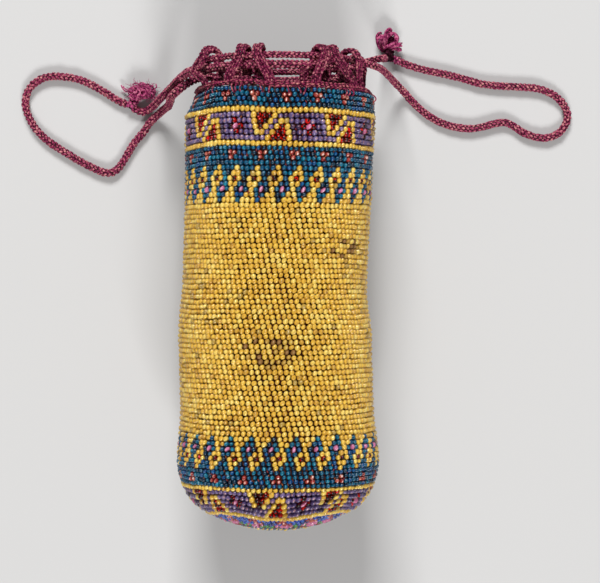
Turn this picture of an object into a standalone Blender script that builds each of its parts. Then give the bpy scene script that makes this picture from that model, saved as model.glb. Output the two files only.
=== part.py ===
"""A bead-crochet drawstring bag lying on its side, its mouth towards +Y.

The bead fabric is a round tube with a closed, rounded base. Each ridge of its outside is one
round of beads. A thin crocheted ground backs the beads, an edging finishes the mouth, and twelve
crocheted loops on the edging carry two drawstrings, each knotted into a loop that lies on the table.
"""
import math

import bmesh
import bpy
import numpy as np
from mathutils import Matrix, Vector

MM = 0.001

# Bead fabric, in the bag's own terms: distances run from the mouth towards the base.
BODY_LENGTH = 138.4 * MM
BASE_DEPTH = 22.1 * MM
MOUTH_Y = 62.5 * MM
MOUTH_RADIUS = 30.5 * MM
NECK_RADIUS = 29.7 * MM
WAIST_RADIUS = 31.0 * MM
BELLY_RADIUS = 32.4 * MM
BASE_ROUNDNESS = 0.42
TOTAL_ROUNDS = 103
BEAD_THICKNESS = 1.8 * MM
BEAD_RELIEF = 0.7 * MM
STRAIGHT_STATION_ROUNDS = 7
BASE_STATION_ROUNDS = 2
ROUND_SEGMENTS = 18

# What lies under and between the pieces.
GAP = 0.3 * MM
GROUND_THICKNESS = 0.9 * MM
FLAT_DEPTH = 1.2 * MM

# Crocheted edging, its loops and the two drawstrings.
EDGING_RADIUS = 28.7 * MM
EDGING_HALF_WIDTH = 0.95 * MM
EDGING_HALF_HEIGHT = 1.0 * MM
EDGING_SIDES = 8
LOOP_THICKNESS = 2.4 * MM
STRING_THICKNESS = 2.6 * MM
STRING_RING_RADIUS = 25.4 * MM
STRING_SPACING = 3.0 * MM
LOWER_STRING_RISE = 7.5 * MM
LOOP_REACH = 2.9 * MM
LOOP_FOOT_RISE = 0.7 * MM
LOOP_INNER_RISE = 1.0 * MM
LOOP_INNER_LEAN = 1.2 * MM
LOOP_INNER_MARGIN = 1.0 * MM
STRING_POINT_SPACING = 6.2 * MM
RING_STEP_DEG = 15

# Bead zones from the mouth to the base: name, first round, round after the last, colour.
BLUE = (0.012, 0.20, 0.34)
YELLOW = (0.60, 0.42, 0.10)
PURPLE = (0.20, 0.17, 0.36)
COBALT = (0.01, 0.09, 0.32)
SILK = (0.30, 0.055, 0.13)
SILK_GROUND = (0.26, 0.10, 0.05)
ZONES = (
    ("beads_rim_blue", 0, 4, BLUE),
    ("beads_upper_line", 4, 5, YELLOW),
    ("beads_upper_purple", 5, 10, PURPLE),
    ("beads_under_purple_line", 10, 11, YELLOW),
    ("beads_upper_border", 11, 21, BLUE),
    ("beads_yellow_field", 21, 68, YELLOW),
    ("beads_lower_border", 68, 79, BLUE),
    ("beads_lower_line", 79, 80, YELLOW),
    ("beads_lower_purple", 80, 85, PURPLE),
    ("beads_base_line", 85, 86, YELLOW),
    ("beads_base", 86, TOTAL_ROUNDS, COBALT),
)

# Each loop's angle round the mouth at its outer foot, at its top and at its inner foot, and how far
# its outer leg bulges sideways. Zero is the top of the lying bag and angles grow towards +X.
LOOPS_DEG = (
    (-57, -55.5, -49, -10),
    (-32, -24, -24, 0),
    (-5, -12.4, -14, 0),
    (25, 31.5, 31, 0),
    (55, 40, 40, 0),
    (66, 64, 62, 0),
    (106, 103, 104, 0),
    (133, 135, 134, 0),
    (160, 157, 159, 0),
    (187, 190, 188, 0),
    (213, 210, 212, 0),
    (238, 239, 238, 0),
)

# Drawstring routes in millimetres: down from the mouth to the knot, and out along the table and back.
LEFT_KNOT = (-49.25, 61.82)
LEFT_KNOT_HEADING_DEG = 55
LEFT_RING_DEG = (-70, 250)
LEFT_SHORT_END = (
    (-26.4, 70.2, 35.8), (-29.2, 69.7, 31.0), (-31.9, 68.3, 25.5), (-34.6, 66.5, 18.8),
    (-37.1, 65.0, 13.0), (-39.5, 63.4, 8.2), (-42.3, 61.3, 3.2), (-44.9, 60.1, 1.35),
    (-46.9, 60.2, 1.35), (-48.4, 61.2, 1.35),
)
LEFT_LONG_END = (
    (-24.9, 69.4, 22.8), (-26.6, 68.4, 26.4), (-30.0, 66.2, 28.2), (-33.4, 63.8, 26.0),
    (-34.9, 62.7, 21.5), (-35.5, 62.0, 15.5), (-36.4, 61.2, 10.0), (-38.4, 60.2, 5.4),
    (-41.0, 58.3, 2.6), (-43.4, 56.0, 1.6),
    (-45.0, 53.5, 1.35), (-48.4, 49.4, 1.35), (-51.1, 44.9, 1.35), (-53.2, 41.6, 1.35),
    (-55.7, 39.7, 1.35), (-58.8, 39.9, 1.35), (-64.4, 42.4, 1.35), (-72.1, 46.9, 1.35),
    (-78.1, 51.1, 1.35), (-82.1, 55.6, 1.35), (-84.5, 61.3, 1.35), (-84.1, 66.3, 1.35),
    (-81.1, 70.0, 1.35), (-76.5, 71.8, 1.35), (-71.1, 71.6, 1.35), (-65.8, 70.5, 1.35),
    (-59.4, 67.3, 1.35), (-53.8, 63.8, 1.35), (-50.8, 62.5, 1.35),
)
RIGHT_KNOT = (37.35, 78.15)
RIGHT_KNOT_HEADING_DEG = 100
RIGHT_RING_DEG = (100, 430)
RIGHT_SHORT_END = (
    (26.3, 73.2, 27.2), (29.4, 73.9, 28.6), (32.6, 74.8, 27.0), (34.0, 75.4, 22.8),
    (34.5, 76.0, 16.5), (34.8, 76.9, 9.0), (35.1, 77.6, 3.8), (35.6, 78.0, 1.5),
)
RIGHT_LONG_END = (
    (25.1, 72.9, 36.0), (27.7, 72.5, 34.6), (30.4, 72.0, 32.8), (32.6, 71.7, 28.5),
    (34.4, 71.2, 22.0), (36.0, 70.6, 15.5), (37.6, 69.7, 10.0), (39.6, 68.3, 5.4),
    (42.0, 66.2, 2.3), (44.8, 63.2, 1.35),
    (49.1, 59.3, 1.35), (54.1, 56.4, 1.35), (59.5, 54.8, 1.35), (64.5, 54.4, 1.35),
    (69.2, 55.3, 1.35), (72.8, 56.2, 1.35), (75.5, 56.4, 1.35), (78.2, 55.3, 1.35),
    (81.5, 53.1, 1.35), (85.9, 51.5, 1.35), (90.5, 51.5, 1.35), (94.2, 53.6, 1.35),
    (96.4, 57.6, 1.35), (95.5, 61.6, 1.35), (92.2, 65.3, 1.35), (86.9, 67.6, 1.35),
    (80.5, 68.3, 1.35), (74.2, 68.6, 1.35), (67.8, 69.3, 1.35), (61.3, 71.1, 1.35),
    (55.0, 72.6, 1.35), (48.5, 74.0, 1.35), (42.8, 75.7, 1.35), (39.3, 77.3, 1.35),
)

# A knot with its frayed tuft, turned round its own axis: distance from the axis, distance from the neck.
KNOT_PROFILE_MM = (
    (0.0, 10.6), (2.8, 10.2), (4.2, 8.8), (4.3, 7.4), (3.1, 6.1), (2.1, 5.2),
    (2.6, 3.9), (2.6, 2.3), (1.6, 1.3), (0.0, 1.0),
)
KNOT_FLATTENING = 0.75
KNOT_SEGMENTS = 12


def body_outline():
    """Distance along the fabric, position along the bag and outer radius, from mouth to base centre."""
    straight = BODY_LENGTH - BASE_DEPTH
    stations = (
        (0.0, MOUTH_RADIUS), (0.51, NECK_RADIUS), (0.66, WAIST_RADIUS), (0.85, WAIST_RADIUS), (1.0, BELLY_RADIUS),
    )
    along = []
    radius = []
    for (start, start_radius), (end, end_radius) in zip(stations, stations[1:]):
        for step in np.linspace(0.0, 1.0, 60, endpoint=False):
            blend = 0.5 - 0.5 * math.cos(math.pi * step)
            along.append(straight * (start + (end - start) * step))
            radius.append(start_radius + (end_radius - start_radius) * blend)
    for angle in np.linspace(0.0, math.pi / 2, 400):
        along.append(straight + BASE_DEPTH * math.sin(angle))
        radius.append(BELLY_RADIUS * max(math.cos(angle), 0.0) ** (2 * BASE_ROUNDNESS))
    along = np.array(along)
    radius = np.array(radius)
    radius[-1] = 0.0
    run = np.concatenate([[0.0], np.cumsum(np.hypot(np.diff(along), np.diff(radius)))])
    return run, along, radius


RUN, ALONG, RADIUS = body_outline()
ROUND_PITCH = RUN[-1] / TOTAL_ROUNDS
BELLY_ROUND = int(np.interp(BODY_LENGTH - BASE_DEPTH, ALONG, RUN) / ROUND_PITCH)
# The layers under the beads bend at the same rounds, so that they nest.
STATIONS = [
    *range(0, BELLY_ROUND, STRAIGHT_STATION_ROUNDS),
    *range(BELLY_ROUND, TOTAL_ROUNDS, BASE_STATION_ROUNDS),
    TOTAL_ROUNDS,
]


def fabric_point(run, inset):
    """Distance from the axis and position along Y, inset square to the fabric's outer face."""
    run = min(max(run, 0.0), RUN[-1])
    ahead = min(run + 0.2 * MM, RUN[-1])
    behind = max(ahead - 0.4 * MM, 0.0)
    along_slope = (np.interp(ahead, RUN, ALONG) - np.interp(behind, RUN, ALONG)) / (ahead - behind)
    radius_slope = (np.interp(ahead, RUN, RADIUS) - np.interp(behind, RUN, RADIUS)) / (ahead - behind)
    length = math.hypot(along_slope, radius_slope)
    radius = np.interp(run, RUN, RADIUS) - inset * along_slope / length
    along = np.interp(run, RUN, ALONG) + inset * radius_slope / length
    if run >= RUN[-1]:
        radius = 0.0
    return max(float(radius), 0.0), MOUTH_Y - float(along)


def axis_height(y):
    """Height of the bag's axis, which lets each section's flat strip rest on the table."""
    along = min(max(MOUTH_Y - y, 0.0), BODY_LENGTH - BASE_DEPTH)
    return float(np.interp(along, ALONG, RADIUS)) - FLAT_DEPTH


def new_material(name, colour, roughness):
    material = bpy.data.materials.new(name)
    material.use_nodes = True
    shader = material.node_tree.nodes["Principled BSDF"]
    shader.inputs["Base Color"].default_value = (*colour, 1.0)
    shader.inputs["Roughness"].default_value = roughness
    return material


def mesh_object(name, mesh, collection, colour, roughness):
    obj = bpy.data.objects.new(name, mesh)
    collection.objects.link(obj)
    mesh.materials.clear()
    mesh.materials.append(new_material("mat_" + name, colour, roughness))
    return obj


def weld_and_smooth(mesh):
    work = bmesh.new()
    work.from_mesh(mesh)
    bmesh.ops.remove_doubles(work, verts=work.verts, dist=0.002 * MM)
    work.to_mesh(mesh)
    work.free()
    mesh.shade_smooth()
    mesh.set_sharp_from_angle(angle=math.radians(50))


def turned_mesh(name, profile, closed, segments):
    """A mesh turned round Z from a profile of distances from the axis and heights, without edges on Z."""
    mesh = bpy.data.meshes.new(name + "_profile")
    count = len(profile)
    edges = [(index, (index + 1) % count) for index in range(count if closed else count - 1)]
    edges = [(start, end) for start, end in edges if profile[start][0] > 0.0 or profile[end][0] > 0.0]
    mesh.from_pydata([(distance, 0.0, height) for distance, height in profile], edges, [])
    obj = bpy.data.objects.new(name + "_profile", mesh)
    bpy.context.scene.collection.objects.link(obj)
    screw = obj.modifiers.new("turn", "SCREW")
    screw.steps = segments
    screw.render_steps = segments
    screw.use_merge_vertices = True
    screw.merge_threshold = 0.01 * MM
    turned = bpy.data.meshes.new_from_object(obj.evaluated_get(bpy.context.evaluated_depsgraph_get()))
    bpy.data.objects.remove(obj)
    turned.name = name
    return turned


def lie_down(mesh):
    """Turns a mesh standing on Z so that it lies along Y, each section at its own resting height."""
    for vertex in mesh.vertices:
        x, y, z = vertex.co
        vertex.co = (x, z, axis_height(z) - y)


def bag_ring(name, profile, closed, collection, colour, roughness, cutter=None):
    mesh = turned_mesh(name, profile, closed, ROUND_SEGMENTS)
    lie_down(mesh)
    weld_and_smooth(mesh)
    obj = mesh_object(name, mesh, collection, colour, roughness)
    if cutter:
        cut = obj.modifiers.new("table flat", "BOOLEAN")
        cut.operation = "DIFFERENCE"
        cut.solver = "EXACT"
        cut.object = cutter
    return obj


def bead_zone(name, first, after, collection, colour, cutter):
    """One zone of bead rounds, with a ridge for each round and a plain inner face."""
    start = first * ROUND_PITCH + GAP / 2
    end = after * ROUND_PITCH - GAP / 2
    closes_base = after == TOTAL_ROUNDS
    profile = [fabric_point(start, BEAD_RELIEF)]
    for number in range(first, after):
        profile.append(fabric_point((number + 0.5) * ROUND_PITCH, 0.0))
        if number + 1 < after:
            profile.append(fabric_point((number + 1) * ROUND_PITCH, BEAD_RELIEF))
    if closes_base:
        end = RUN[-1]
    profile.append(fabric_point(end, BEAD_RELIEF))
    bends = [number * ROUND_PITCH for number in STATIONS if start < number * ROUND_PITCH < end]
    for run in (end, *reversed(bends), start):
        profile.append(fabric_point(run, BEAD_THICKNESS))
    if closes_base:
        profile.append(profile[0])
    return bag_ring(name, profile, not closes_base, collection, colour, 0.35, cutter)


def ground(collection):
    """The crocheted silk that backs the beads, open at the mouth and closed at the base."""
    outer = BEAD_THICKNESS + GAP
    inner = outer + GROUND_THICKNESS
    profile = [fabric_point(number * ROUND_PITCH, outer) for number in STATIONS]
    inner_stations = sorted({*STATIONS[::2], TOTAL_ROUNDS}, reverse=True)
    profile += [fabric_point(number * ROUND_PITCH, inner) for number in inner_stations]
    profile.append(profile[0])
    return bag_ring("crochet_ground", profile, False, collection, SILK_GROUND, 0.8)


def edging(collection):
    """The crocheted row that finishes the mouth."""
    centre = MOUTH_Y + GAP + EDGING_HALF_HEIGHT
    profile = []
    for step in range(EDGING_SIDES):
        angle = math.pi / 2 - math.tau * step / EDGING_SIDES
        profile.append((
            EDGING_RADIUS + EDGING_HALF_WIDTH * math.cos(angle),
            centre + EDGING_HALF_HEIGHT * math.sin(angle),
        ))
    return bag_ring("rim_edging", profile, True, collection, SILK, 0.7)


def mouth_point(angle_deg, distance, y):
    """A point beside the mouth, at an angle from the top of the bag and a distance from its axis."""
    angle = math.radians(angle_deg)
    return Vector((distance * math.sin(angle), y, axis_height(MOUTH_Y) + distance * math.cos(angle)))


def smooth_route(points, spacing):
    """Evenly spaced points on one smooth curve through the given points."""
    given = np.array([points[0], *points, points[-1]], dtype=float)
    steps = np.linspace(0.0, 1.0, 12, endpoint=False)[:, None]
    fine = []
    for before, start, end, after in zip(given, given[1:], given[2:], given[3:]):
        linear = (end - before) * steps
        square = (2 * before - 5 * start + 4 * end - after) * steps ** 2
        cubic = (3 * start - before - 3 * end + after) * steps ** 3
        fine.append(start + 0.5 * (linear + square + cubic))
    fine = np.vstack([*fine, given[-1:]])
    run = np.concatenate([[0.0], np.cumsum(np.linalg.norm(np.diff(fine, axis=0), axis=1))])
    where = np.linspace(0.0, run[-1], round(run[-1] / spacing) + 1)
    return np.column_stack([np.interp(where, run, fine[:, axis]) for axis in range(3)])


def tube(name, points, thickness, collection, colour):
    curve = bpy.data.curves.new(name + "_route", "CURVE")
    curve.dimensions = "3D"
    curve.bevel_depth = thickness / 2
    curve.bevel_resolution = 2
    curve.use_fill_caps = True
    spline = curve.splines.new("POLY")
    spline.points.add(len(points) - 1)
    for target, point in zip(spline.points, points):
        target.co = (*point, 1.0)
    route = bpy.data.objects.new(name + "_route", curve)
    bpy.context.scene.collection.objects.link(route)
    mesh = bpy.data.meshes.new_from_object(route.evaluated_get(bpy.context.evaluated_depsgraph_get()))
    mesh.name = name
    bpy.data.objects.remove(route)
    weld_and_smooth(mesh)
    return mesh_object(name, mesh, collection, colour, 0.7)


def casing_loop(number, angles, collection):
    """A crocheted loop over both drawstrings, its outer foot on the edging and its inner foot inside."""
    foot, top, inner_foot, bulge = angles
    foot_y = MOUTH_Y + GAP + 2 * EDGING_HALF_HEIGHT + GAP
    low_string = MOUTH_Y + LOWER_STRING_RISE
    high_string = low_string + STRING_SPACING
    outside = STRING_RING_RADIUS + LOOP_REACH
    inside = STRING_RING_RADIUS - LOOP_REACH
    rise = high_string - foot_y
    route = [mouth_point(foot, outside, foot_y), mouth_point(foot, outside, foot_y + LOOP_FOOT_RISE)]
    route.append(mouth_point((foot + top) / 2 + bulge, outside, foot_y + 0.55 * rise))
    for step in range(4):
        turn = math.pi * step / 3
        distance = STRING_RING_RADIUS + LOOP_REACH * math.cos(turn) / math.cos(math.pi / 12)
        angle = top + (inner_foot - top) * step / 6
        route.append(mouth_point(angle, distance, high_string + LOOP_REACH * math.sin(turn)))
    route.append(mouth_point((top + inner_foot) / 2, inside, low_string))
    route.append(mouth_point(inner_foot, inside + LOOP_INNER_LEAN, foot_y + LOOP_INNER_RISE))
    inner_edge = EDGING_RADIUS - EDGING_HALF_WIDTH - LOOP_INNER_MARGIN
    route.append(mouth_point(inner_foot, inner_edge, foot_y))
    return tube(f"casing_loop_{number:02d}", route, LOOP_THICKNESS, collection, SILK)


def drawstring(name, ring_y, ring_deg, short_end, long_end, collection):
    """One cord from its knot up to the mouth, round through the loops, out along the table and back."""
    start, end = ring_deg
    count = round(abs(end - start) / RING_STEP_DEG)
    route = [Vector(point) * MM for point in reversed(short_end)]
    for step in range(count + 1):
        route.append(mouth_point(start + (end - start) * step / count, STRING_RING_RADIUS, ring_y))
    route += [Vector(point) * MM for point in long_end]
    return tube(name, smooth_route(route, STRING_POINT_SPACING), STRING_THICKNESS, collection, SILK)


def knot(name, neck, heading_deg, collection):
    """The overhand knot that joins a drawstring's ends, with its frayed tuft, lying on the table."""
    profile = [(distance * MM, along * MM) for distance, along in KNOT_PROFILE_MM]
    mesh = turned_mesh(name, profile, False, KNOT_SEGMENTS)
    widest = max(distance for distance, _ in profile)
    height = widest * KNOT_FLATTENING + 0.1 * MM
    lay = Matrix.Rotation(math.radians(heading_deg - 90), 4, "Z") @ Matrix.Rotation(math.radians(-90), 4, "X")
    flatten = Matrix.Diagonal((1.0, 1.0, KNOT_FLATTENING, 1.0))
    place = Matrix.Translation((neck[0] * MM, neck[1] * MM, height))
    mesh.transform(place @ flatten @ lay)
    weld_and_smooth(mesh)
    return mesh_object(name, mesh, collection, SILK, 0.8)


def table_cutter(collection):
    """A slab under the table plane that gives the resting sections their flat strip."""
    bpy.ops.mesh.primitive_cube_add(size=1.0)
    cutter = bpy.context.object
    cutter.name = "table_cutter"
    cutter.scale = (4 * BELLY_RADIUS, 2 * BODY_LENGTH, BELLY_RADIUS)
    cutter.location = (0.0, 0.0, -BELLY_RADIUS / 2)
    bpy.ops.object.transform_apply(location=True, rotation=False, scale=True)
    for owner in list(cutter.users_collection):
        owner.objects.unlink(cutter)
    collection.objects.link(cutter)
    cutter.hide_render = True
    cutter.display_type = "WIRE"
    return cutter


def build():
    for obj in list(bpy.data.objects):
        bpy.data.objects.remove(obj)
    parts = bpy.data.collections.new("bead_crochet_bag")
    cutters = bpy.data.collections.new("cutters")
    bpy.context.scene.collection.children.link(parts)
    bpy.context.scene.collection.children.link(cutters)
    cutter = table_cutter(cutters)
    ground(parts)
    for name, first, after, colour in ZONES:
        bead_zone(name, first, after, parts, colour, cutter)
    edging(parts)
    for number, angles in enumerate(LOOPS_DEG, start=1):
        casing_loop(number, angles, parts)
    low_string = MOUTH_Y + LOWER_STRING_RISE
    high_string = low_string + STRING_SPACING
    drawstring("drawstring_left", low_string, LEFT_RING_DEG, LEFT_SHORT_END, LEFT_LONG_END, parts)
    drawstring("drawstring_right", high_string, RIGHT_RING_DEG, RIGHT_SHORT_END, RIGHT_LONG_END, parts)
    knot("knot_left", LEFT_KNOT, LEFT_KNOT_HEADING_DEG, parts)
    knot("knot_right", RIGHT_KNOT, RIGHT_KNOT_HEADING_DEG, parts)


build()
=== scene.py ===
"""Dresses the bead-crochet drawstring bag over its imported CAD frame.

Every glass bead is modelled, strung in rounds on a crocheted silk ground. The edging, the casing loops
and the drawstrings are built from single crochet stitches, and each knot ends in a frayed tuft.
"""
import math

import bpy
import numpy as np
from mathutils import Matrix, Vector


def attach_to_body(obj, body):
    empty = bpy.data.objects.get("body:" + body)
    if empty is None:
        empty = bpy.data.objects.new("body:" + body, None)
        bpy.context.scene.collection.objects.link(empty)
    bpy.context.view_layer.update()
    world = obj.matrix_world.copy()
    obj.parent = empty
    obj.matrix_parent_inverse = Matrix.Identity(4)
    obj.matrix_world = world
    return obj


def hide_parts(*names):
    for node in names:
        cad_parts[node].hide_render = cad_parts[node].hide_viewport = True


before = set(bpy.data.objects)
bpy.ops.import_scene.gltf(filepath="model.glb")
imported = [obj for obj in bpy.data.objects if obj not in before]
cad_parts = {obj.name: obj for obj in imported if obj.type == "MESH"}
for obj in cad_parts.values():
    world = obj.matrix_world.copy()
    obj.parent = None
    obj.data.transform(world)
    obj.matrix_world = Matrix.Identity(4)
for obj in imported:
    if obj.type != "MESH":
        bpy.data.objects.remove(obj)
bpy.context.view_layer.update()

MM = 0.001
BODY = "root"
SEED = 7

# The photograph's view: straight down, +Y up.
CAMERA_X = 7.04 * MM
CAMERA_HEIGHT = 686 * MM
CAMERA_LENS = 123.0
CAMERA_SENSOR = 36.0

# Two soft lights over the bag, above and below it in the picture: place and power.
LIGHTS = {
    "light_far": ((-0.22, 1.85, 1.45), 53.0),
    "light_near": ((0.26, -1.85, 1.41), 39.0),
}
LIGHT_SIZE = (0.92, 0.62)
SURROUND_STRENGTH = 0.18

# The table's colour as it is seen, and as it lights what stands on it.
FLOOR_PALE = (0.64, 0.635, 0.63)
FLOOR_BOUNCE = (0.16, 0.155, 0.15)
FLOOR_ROUGHNESS = 0.9
FLOOR_HALF = 3.0

# Bead fabric, as in the CAD: distances run from the mouth towards the base.
BODY_LENGTH = 138.4 * MM
BASE_DEPTH = 22.1 * MM
MOUTH_Y = 62.5 * MM
MOUTH_RADIUS = 30.5 * MM
NECK_RADIUS = 29.7 * MM
WAIST_RADIUS = 31.0 * MM
BELLY_RADIUS = 32.4 * MM
BASE_POWER = 0.84
FLAT_DEPTH = 1.2 * MM

# Shares of the straight part where the radius is set, from the mouth to the base.
OUTLINE_STATIONS = (
    (0.0, MOUTH_RADIUS), (0.51, NECK_RADIUS), (0.66, WAIST_RADIUS),
    (0.85, WAIST_RADIUS), (1.0, BELLY_RADIUS),
)
STATION_STEPS = 60
BASE_STEPS = 400
SLOPE_REACH = 0.2 * MM

# Bead lattice: rounds counted from the mouth, how many beads each has and, at the lead rounds, how many
# beads the pattern has shifted. Measured rounds lie at measured runs along the fabric.
TOTAL_ROUNDS = 103
ROUND_BEADS = 112
FIELD_BEADS = 106
FIELD_ROUNDS = (22, 68)
FIRST_THINNER_ROUND = 86
BASE_BEAD_SPACING = 1.5 * MM
LEAD_ROUNDS = (0, 4, 103)
LEAD_BEADS = (-0.35, 0.98, 20.48)
MEASURED_ROUNDS = (0, 4, 10, 13, 15, 22, 71, 79, 80, 83, 85, 91, 103)
MEASURED_RUNS_MM = (0.75, 6.9, 17.25, 21.5, 24.7, 36.0, 112.3, 123.9, 125.4, 132.0, 136.7, 146.0, 160.9)

# Beads stretch with the spacing of their rounds, less along their holes than across them.
USUAL_ROUND_RUN = 1.54 * MM
STRETCH_RANGE = (0.9, 1.40)
MOST_LENGTH_STRETCH = 1.16

# How the beads sit: their depth below the fabric's outer face, the tilt of their holes, and how unevenly.
BEAD_DEPTH = 0.9 * MM
HOLE_TILT_DEG = -30
TILT_SPREAD_DEG = 10
SPIN_SPREAD_DEG = 24
SIZE_SPREAD = 0.075
SIZE_LIMIT = 0.16
PLACE_SPREAD = 0.07 * MM
FABRIC_WAVE = 0.2 * MM
WAVE_LENGTHS = (9 * MM, 5 * MM)
REST_HEIGHT = 0.78 * MM
FLOOR_GAP = 0.02 * MM

# The limp bag's lie: its sway to one side along Y, and its left corner at the mouth that sags inwards,
# more and more between the two distances to the left.
SWAY_Y_MM = (-75.9, -50.6, -2.7, 29.2, 54.8, 62.5, 66.5)
SWAY_MM = (0.0, 0.0, -1.25, 0.0, 0.75, 0.6, 0.0)
CORNER_SAG = 3.4 * MM
CORNER_Y_MM = (56.0, 62.5, 64.5, 68.0)
CORNER_SHARE = (0.0, 1.0, 0.6, 0.0)
CORNER_X_MM = (17.0, 30.5)

# Where the top of the bag is pushed towards its mouth: how far in millimetres, then places across
# the bag with their shares, and places along it with theirs.
PUSHES_MM = (
    (1.0, (-28.0, -21.0, -8.0, -2.0), (0.0, 1.0, 1.0, 0.0),
     (51.0, 62.5, 64.5, 68.0), (0.0, 1.0, 0.8, 0.0)),
    (1.0, (-27.0, -19.0, -14.0, -7.0), (0.0, 1.0, 0.7, 0.0),
     (28.0, 40.0, 47.0, 56.0, 61.0), (0.0, 0.6, 1.0, 0.4, 0.0)),
    (1.3, (-26.0, -17.0, -12.0, -4.0), (0.0, 1.0, 1.0, 0.0),
     (-75.0, -71.0, -66.0, -60.0), (0.3, 1.0, 0.8, 0.0)),
    (1.5, (4.0, 12.0, 20.0, 27.0), (0.0, 0.8, 1.0, 0.0),
     (-75.0, -71.0, -66.0, -60.0), (0.3, 1.0, 0.8, 0.0)),
)
PUSH_HEIGHTS_MM = (30.0, 40.0)

# How far the top of the closed base stands above its outline, in shares along the bag, and between which
# heights that sets in.
BASE_LIFT = 2.0 * MM
BASE_LIFT_Y_MM = (-75.9, -74.5, -70.0, -66.0, -56.0)
BASE_LIFT_SHARE = (0.0, 0.4, 1.0, 0.8, 0.0)
BASE_LIFT_HEIGHTS_MM = (32.0, 48.0)

# One bead about its own hole: height along the hole and distance from it, dimpled at both openings.
BEAD_PROFILE = ((-0.74, 0.0), (-0.97, 0.52), (-0.36, 0.97), (0.36, 0.97), (0.97, 0.52), (0.74, 0.0))
BEAD_SIDES = 7
BEAD_BANDS = len(BEAD_PROFILE) - 3

# The crocheted ground behind the beads: insets from the beads' outer face, and the lowest heights that
# keep it off the table.
GROUND_SIDES = 96
GROUND_RINGS = 104
GROUND_OUTER_INSET = 1.5 * MM
GROUND_OUTER_LOWEST = 1.3 * MM
GROUND_VALLEY_INSET = 2.35 * MM
GROUND_RIDGE_INSET = 2.75 * MM
GROUND_RIDGE_SHIFT = 0.9 * MM
GROUND_INNER_LOWEST = 1.7 * MM

# Stitched silk, where the CAD has it: the edging, the loops and where the strings run in them. A loop's
# two chains are thinner here than its solid.
EDGING_RADIUS = 28.7 * MM
EDGING_HALF_WIDTH = 0.95 * MM
LOOP_SPREAD = 0.8 * MM
LOOP_THICKNESS = 1.75 * MM
STRING_RING_RADIUS = 25.4 * MM
STRING_SPACING = 3.0 * MM
LOWER_STRING_RISE = 7.5 * MM
LOOP_REACH = 2.9 * MM
LOOP_START_RISE = 1.0 * MM
LOOP_FOOT_RISE = 0.7 * MM
LOOP_SIDE_SHARE = 0.55
LOOP_INNER_RISE = 1.0 * MM
LOOP_INNER_LEAN = 1.2 * MM
LOOP_INNER_MARGIN = 1.0 * MM
EDGING_HEIGHT = 2.0 * MM
GAP = 0.3 * MM

# Steps along routes: round the mouth, and for each kind of thread.
RING_STEP_DEG = 15
CORD_PATH_STEP = 3.0 * MM
CORD_STEP = 0.9 * MM
LOOP_STEP = 0.7 * MM
NECK_STEP = 0.6 * MM
PLY_STEP = 0.5 * MM
STRAY_STEP = 0.4 * MM

# A chain of stitches: pitch, slant in degrees, columns round its core and fullness.
EDGING_CHAIN = (1.6 * MM, 34, 3, 1.1)
LOOP_CHAIN = (1.1 * MM, 20, 4, 1.12)
CORD_BRAID = (1.5 * MM, 27, 6, 1.0)
NECK_WRAP = (1.3 * MM, 55, 6, 1.1)

# One stitch in shares of its chain's thickness: its distance from the middle, and its size across,
# outwards and, in shares of the pitch, along. Then the core's radius, and how uneven stitches are.
STITCH_DISTANCE = 0.34
STITCH_WIDTH = 0.98
STITCH_DEPTH = 0.17
STITCH_HALF_LENGTH = 0.55
CORE_SHARE = 0.36
STITCH_SPREAD = 0.1

# The edging's two rows in millimetres: distance from the axis, height over the mouth and thickness.
EDGING_ROWS_MM = ((29.0, 0.85, 1.45), (28.4, 1.5, 1.25))
EDGING_STEPS = 240
EDGING_BENDS = 40
EDGING_WANDER_MM = 0.16

# Stray stitches from the edging down into the first beads: where the ones that show are, how many more
# there are, and a route of shares of the lean, distances from the axis and heights over the mouth.
STRAYS_DEG = (-29.5, -26.0, 47.0, 49.5)
MORE_STRAYS = 22
STRAY_LEAN_DEG = 3.0
STRAY_ROUTE_MM = ((0.0, 29.0, 0.9), (0.3, 30.3, -0.1), (0.7, 30.7, -1.1), (1.0, 29.7, -2.1))
STRAY_RADIUS = 0.24 * MM

# Each casing loop's angles from the top of the bag: outer foot, top, inner foot and the bulge between.
LOOPS_DEG = (
    (-57, -55.5, -49, -10),
    (-32, -24, -24, 0),
    (-5, -12.4, -14, 0),
    (25, 31.5, 31, 0),
    (55, 40, 40, 0),
    (66, 64, 62, 0),
    (106, 103, 104, 0),
    (133, 135, 134, 0),
    (160, 157, 159, 0),
    (187, 190, 188, 0),
    (213, 210, 212, 0),
    (238, 239, 238, 0),
)

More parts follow.
